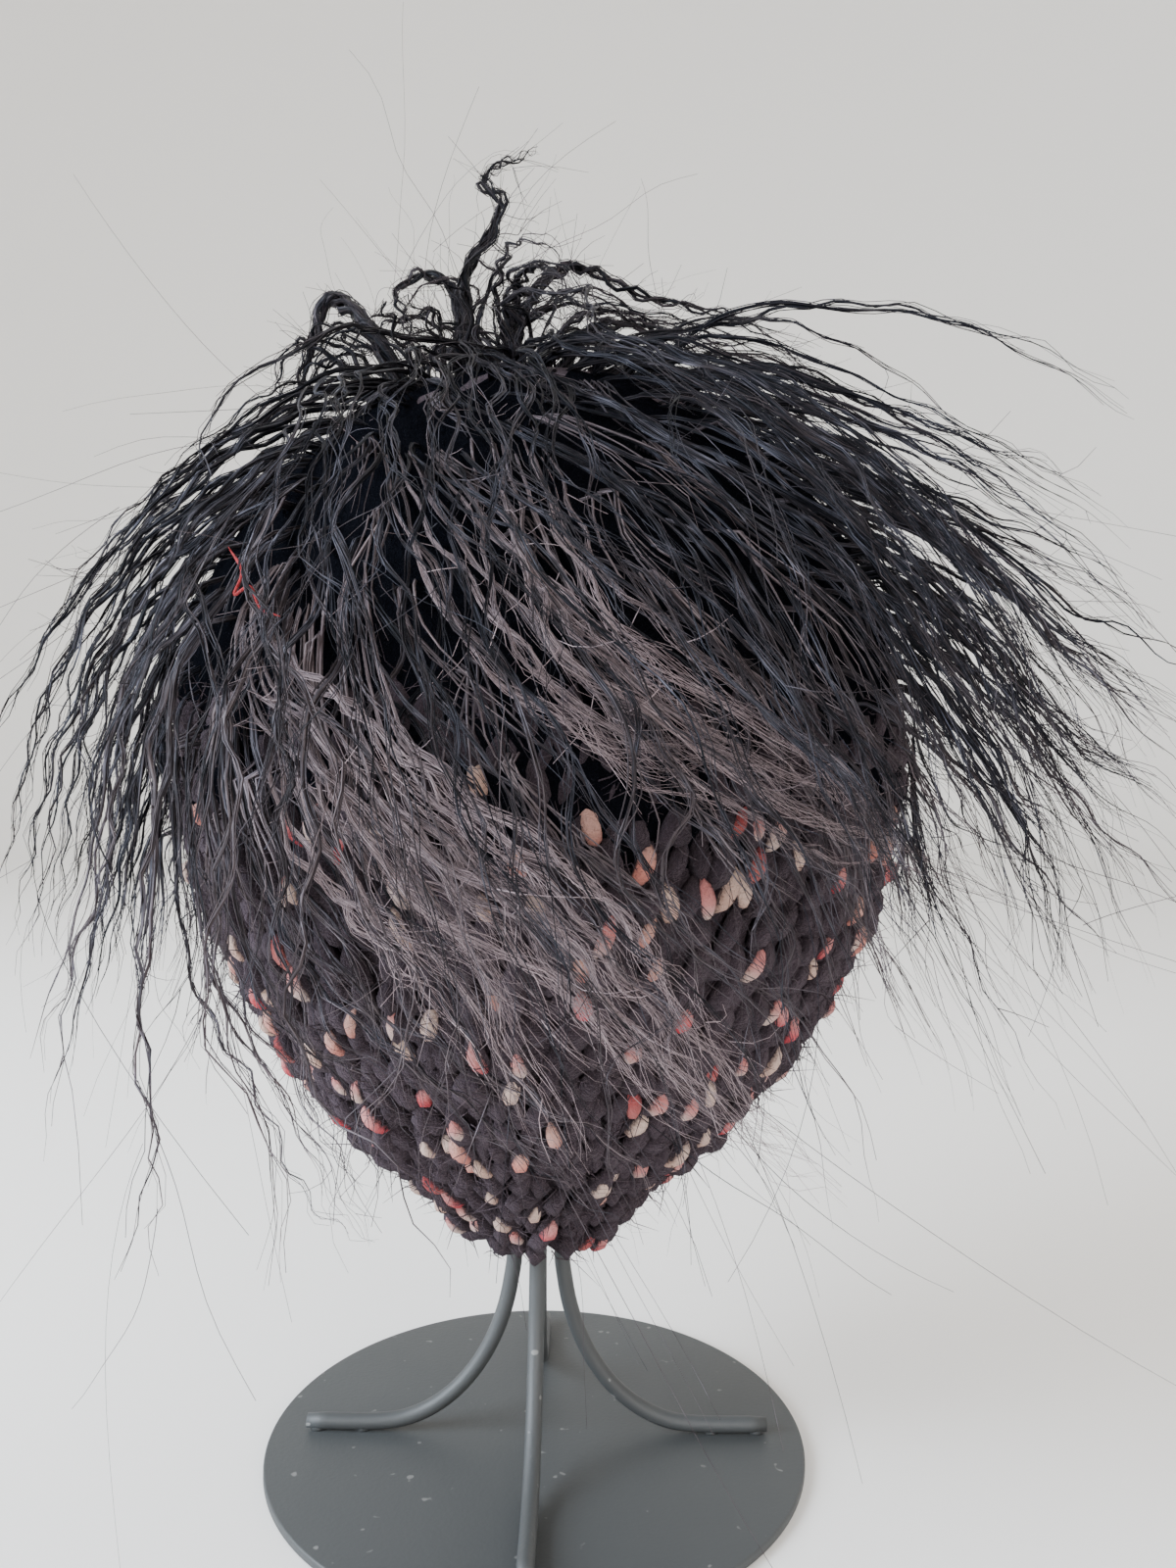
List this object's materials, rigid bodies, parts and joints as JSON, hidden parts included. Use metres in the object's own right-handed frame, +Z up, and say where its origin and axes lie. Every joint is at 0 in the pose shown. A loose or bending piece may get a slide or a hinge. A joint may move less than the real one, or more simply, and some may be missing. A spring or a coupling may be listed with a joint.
{
  "type": "shaggy knit beanie on a wire display stand",
  "caption": "Chunky knitted beanie with long wavy wool locks, pulled over a balloon-shaped wire hat stand with a round base plate.",
  "frame": {"origin": "centre of the base plate's underside", "axes": "+Z up, -Y towards the viewer, +X to the viewer's right"},
  "size_m": [0.2982, 0.2908, 0.3708],
  "materials": {
    "coated_steel": "matte charcoal powder coat",
    "flecked_yarn": "fluffy brushed black yarn with cream, pink and coral flecks",
    "lock_wool": "silky blue-black wavy wool locks"
  },
  "bodies": {
    "root": {"base_plate": "coated_steel", "side_wire": "coated_steel", "front_wire": "coated_steel", "knit_body": "flecked_yarn", "lock_fur": "lock_wool"}
  },
  "joints": []
}
